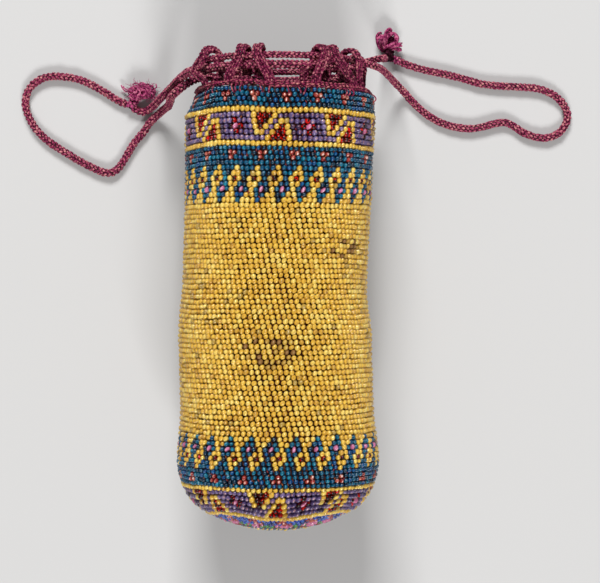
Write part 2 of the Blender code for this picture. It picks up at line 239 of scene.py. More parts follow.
# The drawstrings' routes in millimetres, as in the CAD, where each leaves the mouth, and how thick it
# looks free and in the mouth. Points without a height lie on the table. A cord looks half held once it
# has risen past both heights.
LYING_HEIGHT_MM = 1.35
HELD_HEIGHTS = (6.0 * MM, 14.0 * MM)
HALF_HELD = 0.5
MOUTH_ZONE = 29.0 * MM
LEFT_RING_DEG = (-70, 250)
LEFT_SHORT_END = (
    (-26.4, 70.2, 35.8), (-29.2, 69.7, 31.0), (-31.9, 68.3, 25.5), (-34.6, 66.5, 18.8),
    (-37.1, 65.0, 13.0), (-39.5, 63.4, 8.2), (-42.3, 61.3, 3.2), (-44.9, 60.1), (-46.9, 60.2),
    (-48.4, 61.2),
)
LEFT_LONG_END = (
    (-24.9, 69.4, 22.8), (-26.6, 68.4, 26.4), (-30.0, 66.2, 28.2), (-33.4, 63.8, 26.0),
    (-34.9, 62.7, 21.5), (-35.5, 62.0, 15.5), (-36.4, 61.2, 10.0), (-38.4, 60.2, 5.4),
    (-41.0, 58.3, 2.6), (-43.4, 56.0, 1.6), (-45.0, 53.5), (-48.4, 49.4), (-51.1, 44.9),
    (-53.2, 41.6), (-55.7, 39.7), (-58.8, 39.9), (-64.4, 42.4), (-72.1, 46.9), (-78.1, 51.1),
    (-82.1, 55.6), (-84.5, 61.3), (-84.1, 66.3), (-81.1, 70.0), (-76.5, 71.8), (-71.1, 71.6),
    (-65.8, 70.5), (-59.4, 67.3), (-53.8, 63.8), (-50.8, 62.5),
)
LEFT_LOOKS = (2.75 * MM, 3.05 * MM)
RIGHT_RING_DEG = (100, 430)
RIGHT_SHORT_END = (
    (26.3, 73.2, 27.2), (29.4, 73.9, 28.6), (32.6, 74.8, 27.0), (34.0, 75.4, 22.8),
    (34.5, 76.0, 16.5), (34.8, 76.9, 9.0), (35.1, 77.6, 3.8), (35.6, 78.0, 1.5),
)
RIGHT_LONG_END = (
    (25.1, 72.9, 36.0), (27.7, 72.5, 34.6), (30.4, 72.0, 32.8), (32.6, 71.7, 28.5),
    (34.4, 71.2, 22.0), (36.0, 70.6, 15.5), (37.6, 69.7, 10.0), (39.6, 68.3, 5.4), (42.0, 66.2, 2.3),
    (44.8, 63.2), (49.1, 59.3), (54.1, 56.4), (59.5, 54.8), (64.5, 54.4), (69.2, 55.3), (72.8, 56.2),
    (75.5, 56.4), (78.2, 55.3), (81.5, 53.1), (85.9, 51.5), (90.5, 51.5), (94.2, 53.6), (96.4, 57.6),
    (95.5, 61.6), (92.2, 65.3), (86.9, 67.6), (80.5, 68.3), (74.2, 68.6), (67.8, 69.3), (61.3, 71.1),
    (55.0, 72.6), (48.5, 74.0), (42.8, 75.7), (39.3, 77.3),
)
RIGHT_LOOKS = (2.7 * MM, 2.3 * MM)

# The left knot's neck and its rosette of curled plies: centre and half sizes, in millimetres. A neck's
# widths are those at its two ends.
LEFT_NECK = ((-49.9, 61.4, 1.8), (-48.9, 62.6, 2.1), (-48.0, 64.1, 2.3), (-46.9, 65.6, 2.3))
LEFT_NECK_WIDTHS = (3.5 * MM, 3.3 * MM)
ROSETTE_CENTRE = (-45.5, 66.7, 2.5)
ROSETTE_HALF = (5.9, 3.1, 2.1)
ROSETTE_PLIES = 120
ROSETTE_HAIRS = 90
LEFT_WISPS = (
    ((-49.2, 66.4, 1.6), (-51.3, 66.9, 1.3), (-52.3, 68.0, 1.4), (-52.6, 68.9, 1.7)),
    ((-49.4, 66.9, 2.0), (-51.3, 67.6, 1.8), (-52.0, 68.5, 1.6)),
    ((-42.0, 67.2, 2.0), (-40.9, 68.2, 1.6), (-41.1, 69.3, 1.6)),
)

# The right knot's neck and the bundles of plies that curl round its hollow, in millimetres. The neck and
# the hollow's plies are near black: painted shadow and shade.
RIGHT_NECK = ((37.2, 77.3, 1.9), (37.0, 78.6, 2.3), (36.6, 79.8, 2.5), (36.4, 80.9, 2.6))
RIGHT_NECK_WIDTHS = (4.4 * MM, 3.5 * MM)
RIGHT_TAIL_WIDTHS = (2.7 * MM, 2.7 * MM)
RIGHT_TAILS = (
    ((40.2, 76.9, 1.4), (38.8, 77.3, 1.5), (37.4, 78.0, 1.9), (36.6, 79.0, 2.2)),
    ((35.0, 77.4, 1.8), (35.6, 78.0, 1.6), (36.3, 78.7, 2.0), (36.6, 79.4, 2.3)),
)
RIGHT_PETALS = (
    ((34.9, 80.4, 2.0), (33.2, 81.9, 2.6), (32.7, 83.7, 3.4), (33.2, 85.2, 3.2), (34.5, 85.4, 2.2)),
    ((35.3, 80.4, 2.4), (34.1, 82.1, 3.6), (33.9, 83.7, 4.2), (34.7, 84.6, 3.6), (35.3, 83.6, 2.4)),
    ((35.5, 81.2, 2.6), (35.1, 83.6, 4.2), (35.5, 86.0, 4.0), (36.7, 87.1, 3.0), (37.5, 86.2, 2.2)),
    ((35.9, 81.8, 2.6), (35.8, 84.1, 4.0), (36.5, 85.7, 4.2), (37.5, 85.6, 3.0)),
    ((36.5, 84.7, 2.4), (37.7, 86.0, 3.2), (38.9, 85.2, 3.6), (39.5, 83.7, 3.2), (39.2, 82.4, 2.2)),
    ((36.0, 80.4, 2.6), (37.6, 81.3, 3.8), (39.2, 82.0, 3.4), (40.7, 82.3, 2.6)),
    ((36.3, 80.2, 2.4), (38.2, 80.7, 3.2), (39.6, 80.9, 2.8), (40.6, 80.5, 2.2)),
    ((35.0, 80.8, 3.0), (36.3, 81.7, 4.2), (37.9, 82.3, 4.2), (38.9, 83.0, 3.4)),
    ((34.6, 81.0, 1.4), (36.5, 83.0, 1.2), (38.2, 84.6, 1.4)),
)
RIGHT_HOLLOW = (
    ((35.4, 82.2, 1.0), (36.8, 83.8, 0.9), (38.3, 85.2, 1.0)),
    ((36.2, 81.4, 1.0), (37.7, 83.2, 0.9), (39.0, 84.4, 1.0)),
)
BUNDLE_PLIES = 6
BUNDLE_SPREAD_MM = 0.34
PLY_SPREAD_MM = 0.1
LOWEST_PLY_MM = 0.45
LEFT_PLY_RADIUS = 0.24 * MM
RIGHT_PLY_RADIUS = 0.31 * MM
WISP_RADIUS = 0.26 * MM
HAIR_RADIUS = 0.06 * MM

# Silks: deep, middle and light colours, the sheen, and the blotches to the metre. The blotches mix the
# dye's uneven tone with painted highlights and shade.
SILKS = {
    # Near black throughout: painted shade for the cores that show between stitches.
    "silk_painted_shade": ((0.010, 0.001, 0.003), (0.030, 0.002, 0.009), (0.09, 0.008, 0.03), 0.0, 900.0),
    "silk_cord": ((0.10, 0.005, 0.030), (0.35, 0.034, 0.110), (0.74, 0.33, 0.31), 0.04, 1300.0),
    "silk_edge": ((0.08, 0.003, 0.022), (0.30, 0.018, 0.085), (0.68, 0.27, 0.23), 0.03, 1200.0),
    "silk_loop": ((0.05, 0.002, 0.014), (0.23, 0.012, 0.070), (0.60, 0.22, 0.23), 0.02, 1100.0),
    "silk_knot": ((0.12, 0.006, 0.045), (0.42, 0.042, 0.165), (0.74, 0.24, 0.36), 0.05, 1200.0),
    # The ground's silk is darkened to near black: painted shade in the gaps between the beads.
    "silk_ground": ((0.010, 0.001, 0.001), (0.040, 0.006, 0.003), (0.15, 0.040, 0.014), 0.0, 700.0),
}
SILK_ROUGHNESS = 0.55
SILK_SPECULAR = 0.12
SHEEN_ROUGHNESS = 0.4
SILK_RAMP = (0.36, 0.5, 0.69)
FIBRE_SCALE = 6000.0
FIBRE_DEPTH = 0.08 * MM
FIBRE_STRENGTH = 0.5

# Bead colours by letter: for each shade the glass, then a patch of painted light and shade for the middle
# of its outward side (lighter than the glass in most colours, darker in most yellows and in ruby), with
# that shade's share. Yellow, its dull stain, blue, purple, ruby, salmon, pink (K), cobalt, green and maroon.
SHADES = {
    "Y": (
        ((0.82, 0.52, 0.070), (0.70, 0.39, 0.045), 0.42),
        ((0.75, 0.44, 0.050), (0.62, 0.33, 0.034), 0.27),
        ((0.86, 0.62, 0.130), (0.78, 0.50, 0.085), 0.22),
        ((0.62, 0.34, 0.040), (0.50, 0.26, 0.030), 0.07),
        ((0.46, 0.29, 0.050), (0.48, 0.31, 0.080), 0.02),
    ),
    "D": (
        ((0.46, 0.27, 0.05), (0.56, 0.36, 0.10), 0.5),
        ((0.26, 0.13, 0.04), (0.34, 0.20, 0.08), 0.3),
        ((0.60, 0.39, 0.07), (0.66, 0.46, 0.14), 0.2),
    ),
    "B": (
        ((0.000, 0.078, 0.15), (0.001, 0.15, 0.26), 0.34),
        ((0.000, 0.052, 0.12), (0.001, 0.10, 0.20), 0.26),
        ((0.001, 0.125, 0.21), (0.008, 0.24, 0.36), 0.14),
        ((0.000, 0.050, 0.17), (0.002, 0.11, 0.30), 0.12),
        ((0.000, 0.016, 0.04), (0.001, 0.04, 0.08), 0.14),
    ),
    "P": (
        ((0.125, 0.082, 0.21), (0.35, 0.18, 0.22), 0.4),
        ((0.085, 0.052, 0.155), (0.26, 0.12, 0.16), 0.3),
        ((0.190, 0.135, 0.29), (0.44, 0.26, 0.30), 0.2),
        ((0.040, 0.018, 0.06), (0.15, 0.06, 0.09), 0.1),
    ),
    "R": (
        ((0.68, 0.008, 0.004), (0.020, 0.001, 0.002), 0.45),
        ((0.40, 0.004, 0.003), (0.010, 0.001, 0.001), 0.35),
        ((0.13, 0.002, 0.003), (0.006, 0.001, 0.001), 0.20),
    ),
    "S": (
        ((0.36, 0.040, 0.03), (0.78, 0.42, 0.33), 0.45),
        ((0.26, 0.02, 0.018), (0.66, 0.24, 0.17), 0.30),
        ((0.50, 0.12, 0.08), (0.86, 0.64, 0.56), 0.25),
    ),
    "K": (
        ((0.62, 0.19, 0.34), (0.80, 0.42, 0.55), 0.6),
        ((0.50, 0.14, 0.26), (0.70, 0.32, 0.44), 0.4),
    ),
    "C": (
        ((0.008, 0.045, 0.33), (0.03, 0.13, 0.55), 0.5),
        ((0.015, 0.08, 0.42), (0.06, 0.22, 0.65), 0.25),
        ((0.004, 0.02, 0.13), (0.01, 0.05, 0.25), 0.25),
    ),
    "G": (
        ((0.035, 0.20, 0.03), (0.12, 0.40, 0.06), 0.6),
        ((0.02, 0.11, 0.03), (0.06, 0.25, 0.05), 0.4),
    ),
    "M": (
        ((0.12, 0.006, 0.012), (0.32, 0.02, 0.03), 0.6),
        ((0.05, 0.004, 0.008), (0.14, 0.01, 0.015), 0.4),
    ),
}

# Half length along the hole and half width across it: yellow beads are ovals, pink ones are oblong.
BEAD_HALVES = {"Y": (0.70 * MM, 0.92 * MM), "D": (0.62 * MM, 0.86 * MM), "K": (0.50 * MM, 0.98 * MM)}
ROUND_HALVES = (0.68 * MM, 0.80 * MM)
# Letters whose patch of painted light and shade also covers the four quads round the middle one.
WIDE_PAINTED_PATCHES = "RM"

# The glass skin: roughness and coat for each letter, and for every other one.
FINISHES = {
    "Y": (0.30, 1.0), "D": (0.55, 0.1), "P": (0.28, 0.9),
    "K": (0.4, 0.4), "R": (0.2, 0.6), "M": (0.2, 0.3),
}
USUAL_FINISH = (0.25, 0.85)
GLASS_SPECULAR = 0.05
COAT_IOR = 1.62
COAT_ROUGHNESS = 0.05

# Brownish marks on the yellow field in millimetres: middle and half sizes, and the share of beads in them
# that are dull.
STAINS_MM = ((-1.0, -18.6, 10.0, 4.6), (22.0, 13.0, 4.5, 3.6))
STAINED_SHARE = 0.45

# Bits of the crochet's thread that show between beads: shades, and the share of gaps by colour letter.
THREAD_SHADES = ((0.34, 0.09, 0.02), (0.20, 0.04, 0.012), (0.30, 0.02, 0.02))
THREAD_SHARE = {"B": 0.15, "S": 0.35, "P": 0.08, "C": 0.1}
THREAD_ROUGHNESS = 0.7
THREAD_HALVES = (0.17 * MM, 0.2 * MM, 0.42 * MM)
THREAD_SLANT = 0.9
THREAD_DROP = 0.75 * MM
THREAD_RISE = (-0.1, 0.35)
THREAD_PLACE = 0.6

# Repeats of the bead pattern: rounds that share one offset and period, as a string for each round.
FLOWERS = (
    "YRRRYPPPPPPPPP",
    "YRRYPYYPPPRPPP",
    "YRYPYRYPPRKRPP",
    "YYPYRRYPPPRPPP",
    "PPYRRRYPPPPPPP",
)
LOWER_FLOWERS = FLOWERS[:3] + ("PPPYRRYPPPRPPP",) + FLOWERS[4:]
UPPER_LOZENGES = ("BYBB", "YYBB", "RYBY", "YBBY", "BKBY", "BBYY", "BYYY")
LOWER_LOZENGES = ("BYYY", "BYYB", "BYBK", "YYBB", "RYBY", "YBBY", "BBBY")
PATTERN = (
    (0, 0, ("B",)),
    (1, 5, ("SSBBBB", "SBBBBB")),
    (3, 0, ("B", "Y")),
    (5, 6, FLOWERS),
    (10, 0, ("Y", "B")),
    (12, 0, ("SSBBBB", "SBBBBB")),
    (14, 0, ("B",)),
    (15, 0, UPPER_LOZENGES),
    (22, 0, ("Y",) * 46),
    (68, 2, LOWER_LOZENGES),
    (75, 0, ("B",)),
    (76, 4, ("BSBBBB", "SSBBBB")),
    (78, 0, ("B", "Y")),
    (80, 7, LOWER_FLOWERS),
    (85, 0, ("Y",)),
    (86, 0, ("CCSCCC", "CSSCCC", "CCSSCC")),
    (89, 0, ("KKKKGC", "GKKGGG", "M", "B", "B", "Y", "P", "B", "B", "B", "C", "C", "B", "B")),
)

# Bead pieces: name, first round, round after the last, CAD node and material slot.
BEAD_PIECES = (
    ("beads_rim", 0, 4, "beads_rim_blue", "bead_blue"),
    ("beads_line_1", 4, 5, "beads_upper_line", "bead_yellow"),
    ("beads_flowers_1", 5, 10, "beads_upper_purple", "bead_purple"),
    ("beads_line_2", 10, 11, "beads_under_purple_line", "bead_yellow"),
    ("beads_border_1", 11, 21, "beads_upper_border", "bead_blue"),
    ("beads_field_1", 21, 44, "beads_yellow_field", "bead_yellow"),
    ("beads_field_2", 44, 68, "beads_yellow_field", "bead_yellow"),
    ("beads_border_2", 68, 79, "beads_lower_border", "bead_blue"),
    ("beads_line_3", 79, 80, "beads_lower_line", "bead_yellow"),
    ("beads_flowers_2", 80, 85, "beads_lower_purple", "bead_purple"),
    ("beads_line_4", 85, 86, "beads_base_line", "bead_yellow"),
    ("beads_bottom", 86, 103, "beads_base", "bead_cobalt"),
)


def body_outline():
    """Distance along the fabric, position along the bag and outer radius, from mouth to base centre."""
    straight = BODY_LENGTH - BASE_DEPTH
    along = []
    radius = []
    for (start, start_radius), (end, end_radius) in zip(OUTLINE_STATIONS, OUTLINE_STATIONS[1:]):
        for step in np.linspace(0.0, 1.0, STATION_STEPS, endpoint=False):
            blend = 0.5 - 0.5 * math.cos(math.pi * step)
            along.append(straight * (start + (end - start) * step))
            radius.append(start_radius + (end_radius - start_radius) * blend)
    for angle in np.linspace(0.0, math.pi / 2, BASE_STEPS):
        along.append(straight + BASE_DEPTH * math.sin(angle))
        radius.append(BELLY_RADIUS * max(math.cos(angle), 0.0) ** BASE_POWER)
    along = np.array(along)
    radius = np.array(radius)
    radius[-1] = 0.0
    run = np.concatenate([[0.0], np.cumsum(np.hypot(np.diff(along), np.diff(radius)))])
    return run, along, radius


RUN, ALONG, RADIUS = body_outline()


def fabric_frame(run):
    """Radius and Y of the outer face at a distance from the mouth, and the face's outward normal."""
    run = min(max(run, 0.0), RUN[-1])
    ahead = min(run + SLOPE_REACH, RUN[-1])
    behind = max(ahead - 2 * SLOPE_REACH, 0.0)
    along_slope = float(np.interp(ahead, RUN, ALONG) - np.interp(behind, RUN, ALONG))
    radius_slope = float(np.interp(ahead, RUN, RADIUS) - np.interp(behind, RUN, RADIUS))
    length = math.hypot(along_slope, radius_slope)
    normal = (along_slope / length, radius_slope / length)
    return float(np.interp(run, RUN, RADIUS)), MOUTH_Y - float(np.interp(run, RUN, ALONG)), normal


def fabric_point(run, inset):
    """Distance from the axis and Y, inset square to the fabric's outer face."""
    radius, y, (normal_out, normal_y) = fabric_frame(run)
    return max(radius - inset * normal_out, 0.0), y - inset * normal_y


def axis_height(y):
    """Height of the bag's axis, which lets each section rest on the table."""
    along = np.clip(MOUTH_Y - np.asarray(y), 0.0, BODY_LENGTH - BASE_DEPTH)
    return np.interp(along, ALONG, RADIUS) - FLAT_DEPTH


def mouth_point(angle_deg, distance, y):
    """A point beside the mouth, at an angle from the top of the bag and a distance from its axis."""
    angle = math.radians(angle_deg)
    height = float(axis_height(MOUTH_Y))
    return np.array((distance * math.sin(angle), y, height + distance * math.cos(angle)))


def smooth_route(points, spacing):
    """Evenly spaced points on one smooth curve through the given points."""
    given = np.array([points[0], *points, points[-1]], dtype=float)
    steps = np.linspace(0.0, 1.0, 12, endpoint=False)[:, None]
    fine = []
    for before, start, end, after in zip(given, given[1:], given[2:], given[3:]):
        linear = (end - before) * steps
        square = (2 * before - 5 * start + 4 * end - after) * steps ** 2
        cubic = (3 * start - before - 3 * end + after) * steps ** 3
        fine.append(start + 0.5 * (linear + square + cubic))
    fine = np.vstack([*fine, given[-1:]])
    run = np.concatenate([[0.0], np.cumsum(np.linalg.norm(np.diff(fine, axis=0), axis=1))])
    where = np.linspace(0.0, run[-1], round(run[-1] / spacing) + 1)
    return np.column_stack([np.interp(where, run, fine[:, axis]) for axis in range(3)])


def unit_rows(rows):
    return rows / np.linalg.norm(rows, axis=-1, keepdims=True)


def route_frames(points, first_normal=(0.0, 0.0, 1.0)):
    """Tangent, normal and side at each point of a route, without twist."""
    tangents = unit_rows(np.gradient(points, axis=0))
    normals = []
    normal = np.array(first_normal, dtype=float)
    for tangent in tangents:
        normal = normal - tangent * normal.dot(tangent)
        normal = normal / np.linalg.norm(normal)
        normals.append(normal)
    normals = np.array(normals)
    return tangents, normals, np.cross(tangents, normals)


def turned_form(profile, sides):
    """A closed form round its own Z, from (height, distance) pairs that start and end on the axis."""
    rings = profile[1:-1]
    angles = (np.arange(sides) + 0.5) * math.tau / sides - math.pi / 2
    verts = [(0.0, 0.0, profile[0][0])]
    for height, distance in rings:
        verts += [(distance * math.cos(a), distance * math.sin(a), height) for a in angles]
    verts.append((0.0, 0.0, profile[-1][0]))
    last = len(verts) - 1
    start = last - sides
    tris = []
    quads = []
    for side in range(sides):
        after = (side + 1) % sides
        tris.append((0, 1 + after, 1 + side))
        tris.append((last, start + side, start + after))
        for ring in range(len(rings) - 1):
            low = 1 + ring * sides
            high = low + sides
            quads.append((low + side, low + after, high + after, high + side))
    return np.array(verts), np.array(tris), np.array(quads)


def scatter(form, matrices, origins):
    """Copies of one form, as vertices, triangles and quads."""
    verts, tris, quads = form
    placed = np.einsum("nij,vj->nvi", matrices, verts) + origins[:, None, :]
    offset = (np.arange(len(origins)) * len(verts))[:, None, None]
    return placed.reshape(-1, 3), (tris + offset).reshape(-1, 3), (quads + offset).reshape(-1, 4)


def new_piece(name, verts, faces, materials, face_materials=None):
    """A smooth-shaded object. Faces are arrays of triangles or quads."""
    mesh = bpy.data.meshes.new(name)
    faces = [face for face in faces if len(face)]
    loops = np.concatenate([face.ravel() for face in faces]).astype(np.int32)
    sizes = np.concatenate([np.full(len(face), face.shape[1]) for face in faces])
    starts = np.concatenate([[0], np.cumsum(sizes)[:-1]]).astype(np.int32)
    mesh.vertices.add(len(verts))
    mesh.vertices.foreach_set("co", np.asarray(verts, dtype=np.float32).ravel())
    mesh.loops.add(len(loops))
    mesh.loops.foreach_set("vertex_index", loops)
    mesh.polygons.add(len(sizes))
    mesh.polygons.foreach_set("loop_start", starts)
    if face_materials is not None:
        mesh.polygons.foreach_set("material_index", face_materials.astype(np.int32))
    mesh.update(calc_edges=True)
    mesh.shade_smooth()
    for material in materials:
        mesh.materials.append(material)
    piece = bpy.data.objects.new(name, mesh)
    bpy.context.scene.collection.objects.link(piece)
    return piece


def share_between(values, start, end):
    """How far values have gone from start to end, from 0 to 1."""
    return np.clip((values - start) / (end - start), 0.0, 1.0)


def draped(verts):
    """The bag's points, moved to lie as the limp bag does and kept off the table."""
    x = verts[:, 0] / MM
    y = verts[:, 1] / MM
    sway = np.interp(y, SWAY_Y_MM, SWAY_MM) * MM
    reach = share_between(-x, *CORNER_X_MM)
    sag = CORNER_SAG * np.interp(y, CORNER_Y_MM, CORNER_SHARE) * reach ** 2 * (3 - 2 * reach)
    upper = share_between(verts[:, 2] / MM, *PUSH_HEIGHTS_MM)
    fuller = share_between(verts[:, 2] / MM, *BASE_LIFT_HEIGHTS_MM)
    push = np.zeros(len(verts))
    for most, across, across_share, along, along_share in PUSHES_MM:
        push += most * MM * np.interp(x, across, across_share) * np.interp(y, along, along_share)
    moved = verts.copy()
    moved[:, 0] += sway + sag
    moved[:, 1] += push * upper
    moved[:, 2] += BASE_LIFT * np.interp(y, BASE_LIFT_Y_MM, BASE_LIFT_SHARE) * fuller
    moved[:, 2] = np.maximum(moved[:, 2], FLOOR_GAP)
    return moved


def attach(piece, node):
    """Puts a piece on the bag's body, in the place of a CAD node."""
    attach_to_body(piece, BODY)
    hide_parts(node)
    return piece


def set_inputs(node, values):
    for name, value in values.items():
        node.inputs[name].default_value = value


def plain_material(name, colour, roughness):
    material = bpy.data.materials.new(name)
    material.use_nodes = True
    shader = material.node_tree.nodes["Principled BSDF"]
    set_inputs(shader, {"Base Color": (*colour, 1.0), "Roughness": roughness})
    return material, shader


def glass_material(name, colour, roughness, coat):
    """Bead glass: coloured through, with a polished skin."""
    material, shader = plain_material(name, colour, roughness)
    set_inputs(shader, {
        "Specular IOR Level": GLASS_SPECULAR,
        "Coat Weight": coat,
        "Coat IOR": COAT_IOR,
        "Coat Roughness": COAT_ROUGHNESS,
    })
    return material


def bead_materials():
    """Two materials for each shade of each bead colour: the glass, and a patch of painted light and shade.
    """
    materials = {}
    for letter, shades in SHADES.items():
        finish = FINISHES.get(letter, USUAL_FINISH)
        materials[letter] = []
        for number, (body, core, _) in enumerate(shades):
            materials[letter].append(glass_material(f"glass_{letter}_{number}", body, *finish))
            # The second is no part of the bead: it is painted light and shade for the middle of the glass.
            materials[letter].append(glass_material(f"core_{letter}_{number}", core, *finish))
    return materials


def thread_materials():
    return [
        plain_material(f"thread_{number}", colour, THREAD_ROUGHNESS)[0]
        for number, colour in enumerate(THREAD_SHADES)
    ]


def silk_material(name):
    """Twisted silk: blotches of uneven dye with painted highlights and shade, fine fibres and a soft sheen.
    """
    deep, middle, light, sheen, scale = SILKS[name]
    material, shader = plain_material(name, middle, SILK_ROUGHNESS)
    nodes = material.node_tree.nodes
    links = material.node_tree.links
    set_inputs(shader, {
        "Specular IOR Level": SILK_SPECULAR, "Sheen Weight": sheen, "Sheen Roughness": SHEEN_ROUGHNESS,
    })
    place = nodes.new("ShaderNodeTexCoord")
    dye_and_light_blotches = nodes.new("ShaderNodeTexNoise")
    set_inputs(dye_and_light_blotches, {"Scale": scale, "Detail": 1.8, "Roughness": 0.6})
    ramp = nodes.new("ShaderNodeValToRGB")
    first, last = ramp.color_ramp.elements
    first.color = (*deep, 1.0)
    last.color = (*light, 1.0)
    first.position, centre, last.position = SILK_RAMP
    ramp.color_ramp.elements.new(centre).color = (*middle, 1.0)
    fibres = nodes.new("ShaderNodeTexNoise")
    set_inputs(fibres, {"Scale": FIBRE_SCALE, "Detail": 2.0})
    bump = nodes.new("ShaderNodeBump")
    set_inputs(bump, {"Strength": FIBRE_STRENGTH, "Distance": FIBRE_DEPTH})
    links.new(place.outputs["Object"], dye_and_light_blotches.inputs["Vector"])
    links.new(place.outputs["Object"], fibres.inputs["Vector"])
    links.new(dye_and_light_blotches.outputs["Fac"], ramp.inputs["Fac"])
    links.new(ramp.outputs["Color"], shader.inputs["Base Color"])
    links.new(fibres.outputs["Fac"], bump.inputs["Height"])
    links.new(bump.outputs["Normal"], shader.inputs["Normal"])
    return material


def pattern_letter(number, index):
    """The colour letter of a bead, from its round and its place in the round."""
    first, shift, repeats = [row for row in PATTERN if row[0] <= number][-1]
    repeat = repeats[number - first]
    return repeat[(index + shift) % len(repeat)]


def stained(x, y):
    """Whether a place on the yellow field lies in one of its brownish marks."""
    return any(
        math.hypot((x / MM - middle_x) / half_x, (y / MM - middle_y) / half_y) < 1.0
        for middle_x, middle_y, half_x, half_y in STAINS_MM
    )


def round_beads(number, random):
    """The beads of one round: centres, shape matrices and letters, the gaps below them and their axes."""
    run = float(np.interp(number, MEASURED_ROUNDS, MEASURED_RUNS_MM)) * MM
    _, _, (normal_out, normal_y) = fabric_frame(run)
    centre_radius, centre_y = fabric_point(run, BEAD_DEPTH)
    count = ROUND_BEADS
    if FIELD_ROUNDS[0] <= number < FIELD_ROUNDS[1]:
        count = FIELD_BEADS
    if number >= FIRST_THINNER_ROUND:
        count = max(min(ROUND_BEADS, int(math.tau * centre_radius / BASE_BEAD_SPACING)), 1)
    lead = float(np.interp(number, LEAD_ROUNDS, LEAD_BEADS))
    index = math.ceil(-count / 2 - lead) + np.arange(count)
    angle = (index + lead) * math.tau / count
    spread = random.normal(0.0, PLACE_SPREAD, (count, 3))
    long_wave, short_wave = WAVE_LENGTHS
    wave = FABRIC_WAVE * (np.sin(3 * angle + run / long_wave) + np.sin(7 * angle - run / short_wave)) / 2
    sines = np.sin(angle)
    cosines = np.cos(angle)
    zeros = np.zeros(count)
    around = np.column_stack([cosines, zeros, -sines])
    towards_mouth = np.column_stack([-normal_y * sines, zeros + normal_out, -normal_y * cosines])
    outward = np.column_stack([normal_out * sines, zeros + normal_y, normal_out * cosines])
    height = float(axis_height(centre_y))
    centres = np.column_stack([centre_radius * sines, zeros + centre_y, height + centre_radius * cosines])
    shift_along = spread[:, 1:2] + wave[:, None]
    centres += around * spread[:, :1] + towards_mouth * shift_along + outward * spread[:, 2:]
    centres[:, 2] = np.maximum(centres[:, 2], REST_HEIGHT)
    letters = np.array([pattern_letter(number, int(j)) for j in index])
    stains = np.array([stained(x, y) for x, y, _ in centres]) & (cosines > 0) & (letters == "Y")
    letters[stains & (random.random(count) < STAINED_SHARE)] = "D"
    tilt = np.radians(HOLE_TILT_DEG + random.normal(0.0, TILT_SPREAD_DEG, count))[:, None]
    lean = np.radians(random.normal(0.0, TILT_SPREAD_DEG, count))[:, None]
    spin = np.radians(random.normal(0.0, SPIN_SPREAD_DEG, count))[:, None]
    hole = around * np.cos(tilt) + towards_mouth * np.sin(tilt)
    hole = hole * np.cos(lean) + outward * np.sin(lean)
    across = unit_rows(np.cross(hole, outward))
    inward = np.cross(hole, across)
    near, far = np.interp((number - 0.5, number + 0.5), MEASURED_ROUNDS, MEASURED_RUNS_MM) * MM
    stretch = float(np.clip((far - near) / USUAL_ROUND_RUN, *STRETCH_RANGE))
    size = random.normal(0.0, SIZE_SPREAD, (count, 2)).clip(-SIZE_LIMIT, SIZE_LIMIT)
    size += (min(stretch, MOST_LENGTH_STRETCH), stretch)
    halves = np.array([BEAD_HALVES.get(letter, ROUND_HALVES) for letter in letters]) * size
    half_length = halves[:, :1]
    half_width = halves[:, 1:]
    matrices = np.stack([
        (across * np.cos(spin) + inward * np.sin(spin)) * half_width,
        (inward * np.cos(spin) - across * np.sin(spin)) * half_width,
        hole * half_length,
    ], axis=2)
    gaps = centres + around * (THREAD_PLACE * math.tau * centre_radius / count) - towards_mouth * THREAD_DROP
    gaps += outward * random.uniform(*THREAD_RISE, (count, 1)) * MM
    return centres, matrices, letters, gaps, around, towards_mouth, outward


def thread_bits(letters, gaps, around, towards_mouth, outward, random):
    """Slanting bits of thread in some of the gaps: vertices, triangles, quads and shade numbers."""
    share = np.array([THREAD_SHARE.get(letter, 0.0) for letter in letters])
    chosen = np.nonzero(random.random(len(letters)) < share)[0]
    slant = random.uniform(-THREAD_SLANT, THREAD_SLANT, (len(chosen), 1))
    half_width, half_depth, half_length = THREAD_HALVES
    along = around[chosen] * np.sin(slant) + towards_mouth[chosen] * np.cos(slant)
    matrices = np.stack([
        np.cross(outward[chosen], along) * half_width,
        outward[chosen] * half_depth,
        along * half_length,
    ], axis=2)
    verts, tris, quads = scatter(STITCH, matrices, gaps[chosen])
    return verts, tris, quads, random.integers(len(THREAD_SHADES), size=len(chosen))


